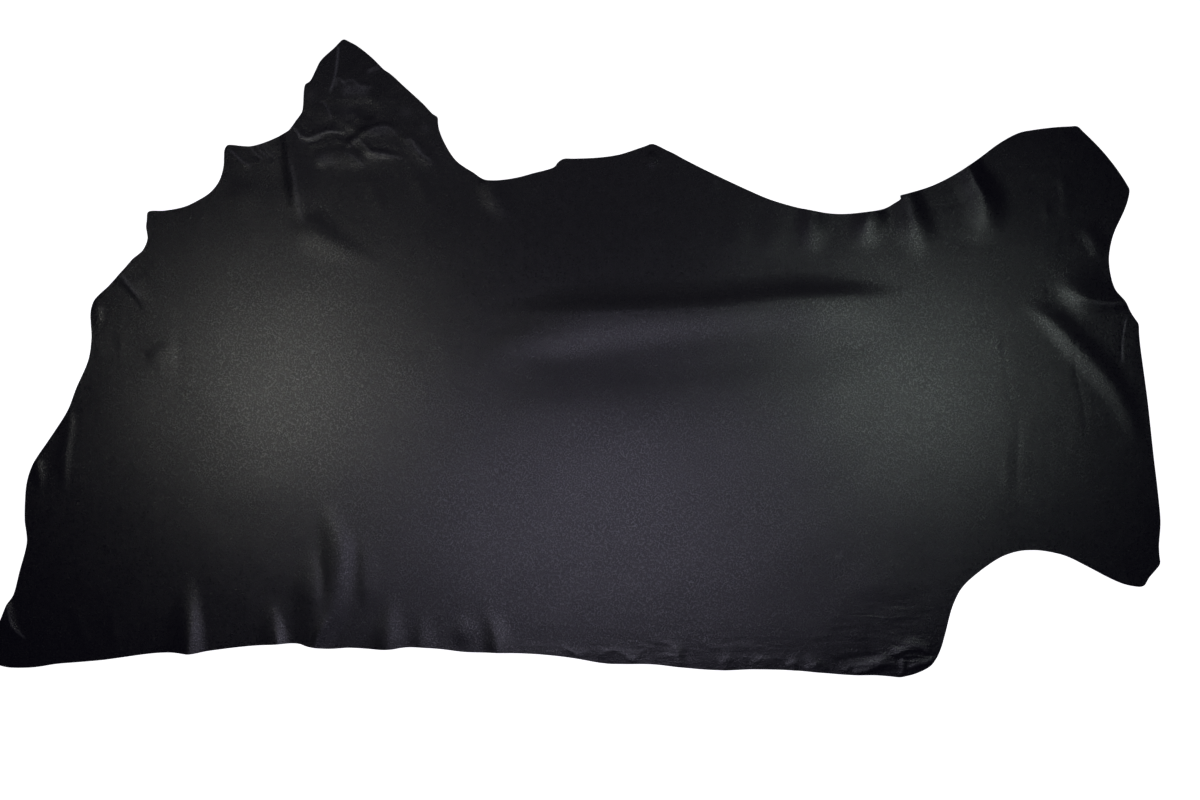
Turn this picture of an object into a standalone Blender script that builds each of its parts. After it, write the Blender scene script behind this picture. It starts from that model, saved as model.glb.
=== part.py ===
"""Leather hide: one side of a cattle hide, cut along the backbone and laid flat, grain side up.

The hide is one cut piece. Its sheet follows the outline of the side, lies flat on the surface, and
lifts off it where the leather folds: the ruffles along the backbone and the belly, the long ridge across
the middle, the curved folds at both shanks and the puckered skin of the flank.

Row frame: metres, +X from the butt to the neck along the backbone, +Y from the backbone to the belly,
+Z up.
The origin is on the surface under the middle of the hide's bounding box.
The tables are in millimetres, measured from the left end (x) and the lowest point (y) of the hide.
"""

import math

import bpy
import numpy as np
from mathutils import Vector
from mathutils.geometry import delaunay_2d_cdt

MM = 0.001

THICKNESS_MM = 1.4
HIDE_COLOUR = (0.012, 0.012, 0.014, 1.0)
HIDE_ROUGHNESS = 0.45

EDGE_PITCH_MM = 21.0  # the longest step along the cut edge
FOLD_PITCH_MM = 17.0  # the mesh's step where the leather folds; doubled and doubled again further away
NEAR_FOLD = 1.7  # how many widths of a fold away the step doubles for the second time
EDGE_CLEARANCE = 0.55  # the gap from the cut edge to the first inner point, in steps
PATH_STEP_MM = 8.0  # the step along a fold's crest
NARROWEST = 0.5  # a fold's width where it has faded out, as a share of its full width
MERGE_MM = 1e-6  # how close two points are the same point

# The cut edge, clockwise from the root of the tail. Each stretch is a smooth curve through its (x, y)
# points in mm, and ends in the corner where the next one starts.
OUTLINE = {
    "butt": [
        (0, 52), (8, 78), (24, 111), (40, 147), (51, 163), (64, 211), (79, 273), (75, 309), (75, 347),
        (79, 391), (91, 426), (127, 481), (160, 533), (177, 577), (202, 636), (208, 683), (206, 724),
        (213, 753), (240, 780), (272, 815), (291, 837), (310, 853), (320, 877), (317, 899), (321, 930),
    ],
    "thigh": [
        (321, 930), (363, 934), (395, 941), (422, 954), (445, 969), (463, 992), (472, 1023), (474, 1054),
        (480, 1063), (504, 1062), (527, 1061), (559, 1070), (588, 1083), (603, 1092), (617, 1111),
        (630, 1130), (633, 1160), (637, 1183), (646, 1189), (655, 1205), (668, 1230), (695, 1255),
        (711, 1271), (715, 1272),
    ],
    "hind_shank": [
        (715, 1272), (739, 1260), (773, 1233), (794, 1212), (806, 1204), (838, 1175), (873, 1143),
        (891, 1124), (900, 1118),
    ],
    "flank": [
        (900, 1118), (903, 1094), (917, 1061), (938, 1031), (972, 1008), (995, 994), (1049, 997),
        (1093, 1008), (1133, 1020), (1140, 1029), (1151, 1036),
    ],
    "belly_rise": [
        (1151, 1036), (1190, 1037), (1224, 1039), (1264, 1045), (1301, 1057), (1328, 1066),
    ],
    "belly": [
        (1328, 1066), (1371, 1047), (1389, 1037), (1434, 1014), (1480, 992), (1530, 969), (1566, 954),
        (1618, 939), (1676, 928), (1706, 926), (1741, 928), (1775, 932), (1798, 939), (1824, 956),
    ],
    "belly_nick": [
        (1824, 956), (1823, 962),
    ],
    "fore_shank_back": [
        (1823, 962), (1847, 969), (1889, 983), (1931, 1004), (1977, 1034), (2023, 1068), (2061, 1088),
        (2084, 1093), (2142, 1100), (2178, 1101),
    ],
    "fore_shank_front": [
        (2178, 1101), (2189, 1091), (2226, 1054), (2256, 1017), (2277, 985), (2282, 975), (2279, 954),
        (2270, 929), (2257, 902), (2248, 879), (2241, 839), (2245, 801), (2254, 773), (2269, 755),
        (2283, 732), (2300, 706),
    ],
    "neck": [
        (2300, 706), (2303, 669), (2318, 554), (2330, 443), (2339, 367), (2344, 309), (2341, 263),
        (2343, 227),
    ],
    "cheek": [
        (2343, 227), (2333, 213), (2321, 199), (2312, 184),
    ],
    "neck_scallop": [
        (2312, 184), (2305, 181), (2272, 186), (2241, 199), (2199, 221), (2153, 243), (2107, 253),
        (2084, 254), (2061, 252), (2029, 242), (1995, 221), (1956, 189), (1943, 173), (1927, 138),
        (1917, 100), (1906, 60), (1899, 43), (1887, 25), (1878, 18), (1851, 6), (1824, 0),
    ],
    "backbone": [
        (1824, 0), (1775, 4), (1741, 4), (1716, 5), (1668, 9), (1607, 14), (1530, 16), (1478, 14),
        (1427, 16), (1377, 21), (1327, 26), (1243, 27), (1224, 29), (1167, 39), (1102, 46), (1030, 49),
        (968, 50), (949, 51), (900, 57), (838, 60), (808, 56), (789, 55), (746, 58), (718, 59), (685, 57),
        (639, 62), (624, 67), (609, 68), (575, 66), (541, 64), (498, 60), (437, 52), (414, 48), (401, 47),
        (384, 49), (368, 50), (330, 48), (269, 40), (233, 35), (177, 30), (139, 27), (91, 20), (41, 20),
        (24, 24), (6, 32), (0, 52),
    ],
}

# The folds. Each row holds a fold's name, its height, how far its flanks reach to the left and to the
# right of its crest, how round the crest is (1 round, 0.6 sharp), how wide it starts as a share of those
# flanks, over what length it fades in and out at its ends, and its crest's (x, y) points.
FOLDS = [
    # name, height, left, right, roundness, start, fade in, fade out, crest
    ("middle_ridge", 6.0, 175, 58, 0.82, 0.9, 240, 240,
     [(1860, 762), (1760, 760), (1670, 759), (1610, 757), (1551, 752), (1492, 746), (1433, 741),
      (1374, 738), (1316, 734), (1257, 732), (1198, 730), (1139, 727), (1080, 726), (990, 724)]),
    ("middle_tip", 2.6, 110, 48, 0.9, 1.0, 110, 110,
     [(1250, 714), (1139, 704), (1080, 688), (1030, 664), (985, 630)]),
    # thigh
    ("thigh_ridge", 4.4, 62, 30, 0.8, 0.9, 0, 110,
     [(598, 1084), (603, 1052), (608, 1020), (613, 985), (618, 940), (630, 880)]),
    ("thigh_fold", 2.3, 60, 54, 0.92, 0.7, 160, 60,
     [(790, 820), (744, 842), (702, 862), (666, 882), (642, 904), (622, 946)]),
    ("butt_crease", 1.5, 44, 26, 0.8, 0.8, 0, 70,
     [(262, 808), (274, 794), (290, 776), (308, 758), (324, 732)]),
    ("butt_dimple", 0.9, 22, 50, 0.9, 0.9, 26, 30, [(314, 628), (336, 644), (356, 656), (380, 668)]),
    ("butt_line_2", 1.5, 18, 22, 0.8, 1.0, 12, 60, [(98, 440), (101, 420), (104, 396), (106, 360)]),
    ("tail_fold", 2.4, 18, 22, 0.7, 1.0, 12, 50, [(36, 156), (42, 128), (46, 106), (60, 88), (78, 74)]),
    # flank and belly
    ("flank_fold", 3.2, 46, 50, 1.0, 0.7, 10, 80,
     [(1000, 1002), (1008, 980), (1018, 956), (1034, 928), (1048, 902)]),
    ("belly_fold_1", 0.9, 44, 46, 1.0, 0.8, 0, 70, [(1500, 950), (1500, 890), (1496, 820)]),
    ("belly_fold_2", 1.2, 50, 52, 1.0, 0.8, 0, 64, [(1584, 950), (1573, 900), (1560, 826)]),
    ("belly_fold_3", 3.2, 58, 58, 1.0, 0.5, 0, 76, [(1646, 944), (1647, 896), (1650, 820)]),
    ("belly_fold_4", 5.0, 84, 76, 1.0, 0.46, 0, 84, [(1766, 944), (1758, 905), (1750, 872), (1738, 828)]),
    ("belly_fold_5", 5.5, 64, 96, 0.84, 0.5, 0, 86,
     [(1839, 962), (1847, 934), (1853, 909), (1860, 884), (1862, 862), (1852, 808)]),
    ("fore_shank_fold", 7.0, 82, 96, 0.8, 0.46, 0, 130,
     [(1958, 1020), (1971, 989), (1984, 968), (1994, 949), (2000, 926), (2000, 904), (1994, 878),
      (1982, 836)]),
    ("fore_shank_crease", 0.54, 30, 12, 0.8, 1.0, 30, 30,
     [(2129, 1004), (2144, 989), (2151, 964), (2151, 944), (2142, 916)]),
    ("armpit_bump", 1.3, 34, 24, 1.0, 1.0, 24, 28, [(2178, 888), (2202, 880), (2214, 864), (2208, 834)]),
    ("armpit_fold", 5.4, 54, 100, 0.7, 0.5, 0, 84,
     [(2276, 748), (2248, 748), (2219, 750), (2191, 757), (2163, 778), (2130, 806)]),
    ("neck_diagonal", 3.4, 40, 38, 0.85, 0.9, 100, 220,
     [(2060, 750), (2084, 738), (2121, 715), (2149, 690), (2177, 660), (2205, 633), (2233, 601),
      (2261, 563), (2280, 526), (2292, 489), (2296, 430)]),
    ("back_ruffle_1", 7.6, 66, 40, 0.75, 1.0, 0, 150, [(402, 24), (405, 80), (405, 130), (402, 205)]),
    ("back_ruffle_2", 6.0, 60, 34, 0.75, 1.0, 0, 130, [(579, 44), (576, 90), (569, 130), (556, 186)]),
    ("back_ruffle_3", 2.3, 60, 40, 1.0, 0.7, 0, 120,
     [(648, 44), (652, 90), (656, 140), (654, 190), (642, 276)]),
    ("back_ruffle_4", 3.6, 78, 44, 1.0, 0.5, 0, 130,
     [(654, 34), (660, 70), (670, 100), (683, 130), (692, 160), (697, 200), (701, 240), (700, 270),
      (690, 306), (664, 366)]),
    ("back_ruffle_6", 3.2, 44, 44, 0.8, 1.0, 0, 110, [(799, 38), (801, 90), (806, 130), (810, 170)]),
    ("back_ruffle_7", 1.9, 34, 40, 0.9, 1.0, 0, 90, [(868, 44), (869, 90), (872, 140)]),
    ("back_ruffle_9", 4.6, 38, 44, 0.75, 1.0, 0, 96, [(1021, 38), (1017, 80), (1009, 112), (1000, 146)]),
    ("back_ruffle_10", 2.0, 44, 24, 0.9, 1.0, 0, 60, [(1382, 12), (1378, 45), (1366, 86)]),
    ("back_ruffle_11", 1.1, 30, 22, 1.0, 1.0, 0, 44, [(1290, 16), (1284, 40), (1272, 70)]),
    ("back_ruffle_15", 1.5, 22, 20, 0.9, 1.3, 0, 36, [(1658, 4), (1652, 24), (1634, 52)]),
    # neck end of the backbone
    ("poll_fold_1", 1.5, 28, 14, 0.8, 0.8, 12, 30,
     [(1728, 4), (1740, 9), (1758, 14), (1788, 26), (1822, 29)]),
    ("poll_fold_3", 1.2, 18, 14, 0.8, 1.0, 20, 16,
     [(1800, 44), (1829, 53), (1845, 61), (1868, 59), (1886, 45)]),
    ("poll_swell", 0.8, 90, 54, 1.0, 1.0, 70, 70, [(1700, 186), (1790, 190), (1888, 180)]),
    # hind shank
    ("shank_swell", 9.0, 90, 270, 1.0, 1.0, 0, 0, [(560, 1250), (700, 1280), (800, 1270), (900, 1220)]),
    ("shank_bump_1", 1.9, 16, 40, 0.9, 1.0, 16, 30,
     [(690, 1174), (702, 1194), (712, 1190), (732, 1193), (746, 1182), (771, 1180), (794, 1172)]),
    ("shank_bump_3", 1.0, 22, 26, 1.0, 1.0, 30, 36, [(700, 1138), (732, 1134), (756, 1124), (780, 1106)]),
    ("pucker_1", 2.0, 26, 12, 0.75, 1.0, 10, 18,
     [(604, 1108), (611, 1100), (626, 1084), (640, 1077), (656, 1082), (675, 1090), (694, 1091),
      (714, 1088), (726, 1079)]),
    ("pucker_2", 3.0, 22, 32, 0.85, 1.0, 20, 18,
     [(736, 1074), (754, 1090), (780, 1101), (804, 1100), (826, 1080)]),
    ("pucker_3", 2.6, 24, 30, 0.9, 1.0, 20, 40,
     [(826, 1060), (836, 1074), (849, 1074), (858, 1060), (869, 1045), (887, 1033), (912, 1018)]),
    ("pucker_4", 2.2, 18, 20, 0.8, 1.0, 10, 40,
     [(720, 1056), (725, 1067), (739, 1077), (753, 1067), (764, 1051), (796, 1045), (832, 1036)]),
    ("pucker_5", 1.3, 26, 32, 1.0, 1.0, 20, 30,
     [(650, 1024), (664, 1036), (688, 1043), (712, 1048), (728, 1045), (746, 1029), (758, 1018)]),
    ("pucker_6", 2.2, 26, 34, 1.0, 1.0, 20, 16, [(848, 1082), (862, 1096), (876, 1106), (890, 1114)]),
]


def smooth_curve(points, steps_between):
    """A centripetal Catmull-Rom curve through the points. steps_between gives the steps between two."""
    rows = np.array(points, float)
    before, after = 2 * rows[0] - rows[1], 2 * rows[-1] - rows[-2]
    knots = np.vstack([before, rows, after])
    curve = [rows[0]]
    for i in range(1, len(knots) - 2):
        p0, p1, p2, p3 = knots[i - 1 : i + 3]
        t1 = math.sqrt(np.linalg.norm(p1 - p0))
        t2 = t1 + math.sqrt(np.linalg.norm(p2 - p1))
        t3 = t2 + math.sqrt(np.linalg.norm(p3 - p2))
        steps = steps_between(np.linalg.norm(p2 - p1))
        for step in range(1, steps + 1):
            t = t1 + (t2 - t1) * step / steps
            a1 = p0 + (p1 - p0) * t / t1
            a2 = p1 + (p2 - p1) * (t - t1) / (t2 - t1)
            a3 = p2 + (p3 - p2) * (t - t2) / (t3 - t2)
            b1 = a1 + (a2 - a1) * t / t2
            b2 = a2 + (a3 - a2) * (t - t1) / (t3 - t1)
            curve.append(b1 + (b2 - b1) * (t - t1) / (t2 - t1))
    return np.array(curve)


def cut_edge():
    """The closed cut edge as points in mm, one stretch after the other."""
    stretches = [
        smooth_curve(points, lambda gap: max(1, math.ceil(gap / EDGE_PITCH_MM)))[:-1]
        for points in OUTLINE.values()
    ]
    return np.vstack(stretches)


def fading(travelled, length, fade_in, fade_out):
    """How much of a fold is left at its ends, from 0 to 1."""
    fade = np.ones(len(travelled))
    for over, gone in ((fade_in, travelled), (fade_out, length - travelled)):
        if over:
            fade *= (1 - np.cos(math.pi * np.minimum(1, gone / over))) / 2
    return fade


def fold_share(points, fold):
    """(height's share, distance in widths of the flank) of a fold at each point."""
    _, _, left, right, roundness, start, fade_in, fade_out, crest = fold
    path = smooth_curve(crest, lambda gap: max(2, math.ceil(gap / PATH_STEP_MM)))
    starts, runs = path[:-1], np.diff(path, axis=0)
    lengths = np.linalg.norm(runs, axis=1)
    along = np.concatenate([[0], np.cumsum(lengths)])
    offsets = points[:, None, :] - starts[None, :, :]
    shares = np.clip((offsets * runs).sum(2) / lengths**2, 0, 1)
    gaps = offsets - shares[:, :, None] * runs
    nearest = np.linalg.norm(gaps, axis=2).argmin(1)
    rows = np.arange(len(points))
    gap, run = gaps[rows, nearest], runs[nearest]
    on_left = run[:, 0] * gap[:, 1] - run[:, 1] * gap[:, 0] > 0
    widths = np.linalg.norm(gap, axis=1) / np.where(on_left, left, right)
    travelled = along[nearest] + shares[rows, nearest] * lengths[nearest]
    fade = fading(travelled, along[-1], fade_in, fade_out)
    spread = (start + (1 - start) * travelled / along[-1]) * (NARROWEST + (1 - NARROWEST) * fade)
    flank = np.minimum(1, widths / spread)
    profile = (1 + np.cos(math.pi * flank ** (1 - (1 - roundness) * fade))) / 2
    return profile * fade, widths


def lift(points):
    """How far the leather stands off the surface at each point, in mm. Crossing folds run together."""
    total = np.zeros(len(points))
    for fold in FOLDS:
        total += (fold[1] * fold_share(points, fold)[0]) ** 2
    return np.sqrt(total)


def widths_to_fold(points):
    """The distance from each point to the nearest fold, in widths of its flank."""
    return np.min([fold_share(points, fold)[1] for fold in FOLDS], axis=0)


def inside(points, edge):
    """Which points lie within the closed edge."""
    within = np.zeros(len(points), bool)
    for (x0, y0), (x1, y1) in zip(edge, np.roll(edge, -1, axis=0)):
        if y0 == y1:
            continue
        crosses = (y0 > points[:, 1]) != (y1 > points[:, 1])
        within ^= crosses & (points[:, 0] < x0 + (points[:, 1] - y0) * (x1 - x0) / (y1 - y0))
    return within


def clear_of_edge(points, edge, gap):
    """Which points are at least that gap from the closed edge."""
    starts, runs = edge, np.roll(edge, -1, axis=0) - edge
    nearest = np.full(len(points), np.inf)
    for start, run in zip(starts, runs):
        share = np.clip((points - start) @ run / (run @ run), 0, 1)
        nearest = np.minimum(nearest, np.linalg.norm(points - start - share[:, None] * run, axis=1))
    return nearest > gap


def inner_points(edge):
    """A lattice of triangles inside the edge, fine where the leather folds and coarser away from it."""
    low, high = edge.min(0), edge.max(0)
    row_gap = FOLD_PITCH_MM * math.sqrt(3) / 2
    rows = math.ceil((high[1] - low[1]) / row_gap)
    columns = math.ceil((high[0] - low[0]) / FOLD_PITCH_MM) + 1
    row, column = np.meshgrid(np.arange(rows), np.arange(-rows // 2, columns), indexing="ij")
    row, column = row.ravel(), column.ravel()
    points = np.stack([low[0] + (column + row / 2) * FOLD_PITCH_MM, low[1] + row * row_gap], axis=1)
    kept = inside(points, edge)
    points, row, column = points[kept], row[kept], column[kept]
    distance = widths_to_fold(points)
    every = np.where(distance < 1, 1, np.where(distance < NEAR_FOLD, 2, 4))
    kept = (row % every == 0) & (column % every == 0)
    points = points[kept]
    return points[clear_of_edge(points, edge, EDGE_CLEARANCE * FOLD_PITCH_MM)]


def black_leather():
    """The material of the hide, black through and through."""
    material = bpy.data.materials.new("black_leather")
    material.use_nodes = True
    shader = material.node_tree.nodes["Principled BSDF"]
    shader.inputs["Base Color"].default_value = HIDE_COLOUR
    shader.inputs["Roughness"].default_value = HIDE_ROUGHNESS
    shader.inputs["Metallic"].default_value = 0.0
    return material


def build_hide(collection):
    """The hide: its flesh side as an open surface, thickened upwards to the grain side."""
    edge = cut_edge()
    flat = np.vstack([edge, inner_points(edge)])
    ring = [(i, (i + 1) % len(edge)) for i in range(len(edge))]
    corners, _, faces, *_ = delaunay_2d_cdt([Vector(point) for point in flat], ring, [], 0, MERGE_MM, False)
    corners, faces = np.array([tuple(corner) for corner in corners]), np.array(faces)
    faces = faces[inside(corners[faces].mean(axis=1), edge)]
    middle = (edge.min(0) + edge.max(0)) / 2
    heights = lift(corners)
    placed = np.column_stack([corners - middle, heights]) * MM
    mesh = bpy.data.meshes.new("hide")
    mesh.from_pydata(placed.tolist(), [], faces.tolist())
    mesh.shade_smooth()
    hide = bpy.data.objects.new("hide", mesh)
    collection.objects.link(hide)
    thickness = hide.modifiers.new("thickness", "SOLIDIFY")
    thickness.thickness = THICKNESS_MM * MM
    thickness.offset = 1.0
    thickness.use_rim = True
    mesh.materials.append(black_leather())
    return hide


def main():
    for thing in list(bpy.data.objects):
        bpy.data.objects.remove(thing)
    collection = bpy.data.collections.new("leather_hide")
    bpy.context.scene.collection.children.link(collection)
    build_hide(collection)


main()
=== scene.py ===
"""The looks of the leather hide: a thin black sheet, grain side up, on a bright table under four softboxes.

The sheet has the outline of the CAD solid. Its folds, creases and wrinkles are in the tables below, in
millimetres, measured from the left end (x) and the lowest point (y) of the hide. All objects are in metres,
in the row frame.
"""

import math

import bpy
import numpy as np
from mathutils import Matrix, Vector, noise
from mathutils.geometry import delaunay_2d_cdt


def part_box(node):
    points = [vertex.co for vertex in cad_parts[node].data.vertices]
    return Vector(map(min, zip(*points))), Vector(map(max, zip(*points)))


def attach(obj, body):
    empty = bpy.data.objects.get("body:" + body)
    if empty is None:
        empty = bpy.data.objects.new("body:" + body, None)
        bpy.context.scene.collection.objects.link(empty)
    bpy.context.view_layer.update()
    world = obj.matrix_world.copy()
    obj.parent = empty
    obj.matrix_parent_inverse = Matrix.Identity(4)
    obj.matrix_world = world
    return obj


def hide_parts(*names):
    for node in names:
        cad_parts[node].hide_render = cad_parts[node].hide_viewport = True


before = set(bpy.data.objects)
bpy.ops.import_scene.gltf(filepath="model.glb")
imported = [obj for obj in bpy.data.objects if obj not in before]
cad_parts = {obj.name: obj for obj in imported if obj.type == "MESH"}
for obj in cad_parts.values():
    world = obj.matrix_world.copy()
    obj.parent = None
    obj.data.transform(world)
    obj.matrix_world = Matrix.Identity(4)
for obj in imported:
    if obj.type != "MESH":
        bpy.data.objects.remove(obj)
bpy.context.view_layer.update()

MM = 0.001
LOW, HIGH = (np.array(corner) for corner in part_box("hide"))

# The sheet
THICKNESS_MM = 1.4
REST_MM = 0.5  # the flesh side's height above the solid's base, before the waves are added

# The mesh: one lattice of triangles, thinned out where the leather is smooth
FINEST_MM = 3.1  # the lattice's finest step
EDGE_STEP_MM = 5.0  # between the points of the cut edge
EDGE_CLEARANCE_MM = 2.6  # between the cut edge and the lattice
PATH_STEP_MM = 3.0  # along a crest
NARROWEST = 0.5  # a fold's width where it has faded out, as a share of its full width
FINE_REACH_MM = 10.0  # how far from a sharp crest the lattice is at its finest, at most
FINE_SHARE, FINE_MARGIN_MM = 0.4, 3  # that reach for a narrow flank: a share of its width, and this more
BROAD_MM = 38.0  # how far from a crest the lattice is denser; a flank as wide as this has no sharp crest
FLAT_STEPS = 4  # the lattice's step on flat leather, in finest steps
FOLD_STEPS = 2  # and on the folds
PUCKERED_FROM = 0.8  # how strongly puckered leather has to be to count as folded

# Unevenness: the waves of relaxed leather, and the lumps and pinches of puckered leather
WAVE_MM, WAVE_LENGTH_MM = 0.6, 170
RIPPLE_SHARE, RIPPLE_LENGTH_MM = 0.45, 70
WAVE_FLOOR = 0.9  # lifts the waves, so that they hardly dip below the rest height
LUMP_SHARE, LUMP_LENGTHS_MM = 0.3, (52, 38)
PINCH_SHARE, PINCH_LENGTHS_MM = 0.22, (46, 34)
PUCKER_LIFT = 0.2

# Table and light
TABLE_RADIUS_M, TABLE_SIDES = 40.0, 64
TABLE_DROP_M = 0.0005  # how far the table stays below the solid's base
TABLE_TONE, TABLE_GLOW = 0.9, 0.92
SKY_COLOUR, HORIZON_COLOUR = (0.022, 0.018, 0.05, 1.0), (1.0, 1.0, 1.0, 1.0)
HORIZON_ENDS, SKY_STARTS = 0.03, 0.30  # as the height of a unit direction

# Camera
LENS_MM, SENSOR_MM = 35.0, 36.0
VIEW_WIDTH_M = 2.4  # what the picture's width covers on the table
VIEW_CENTRE_MM = (1224, 554.2)

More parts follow.
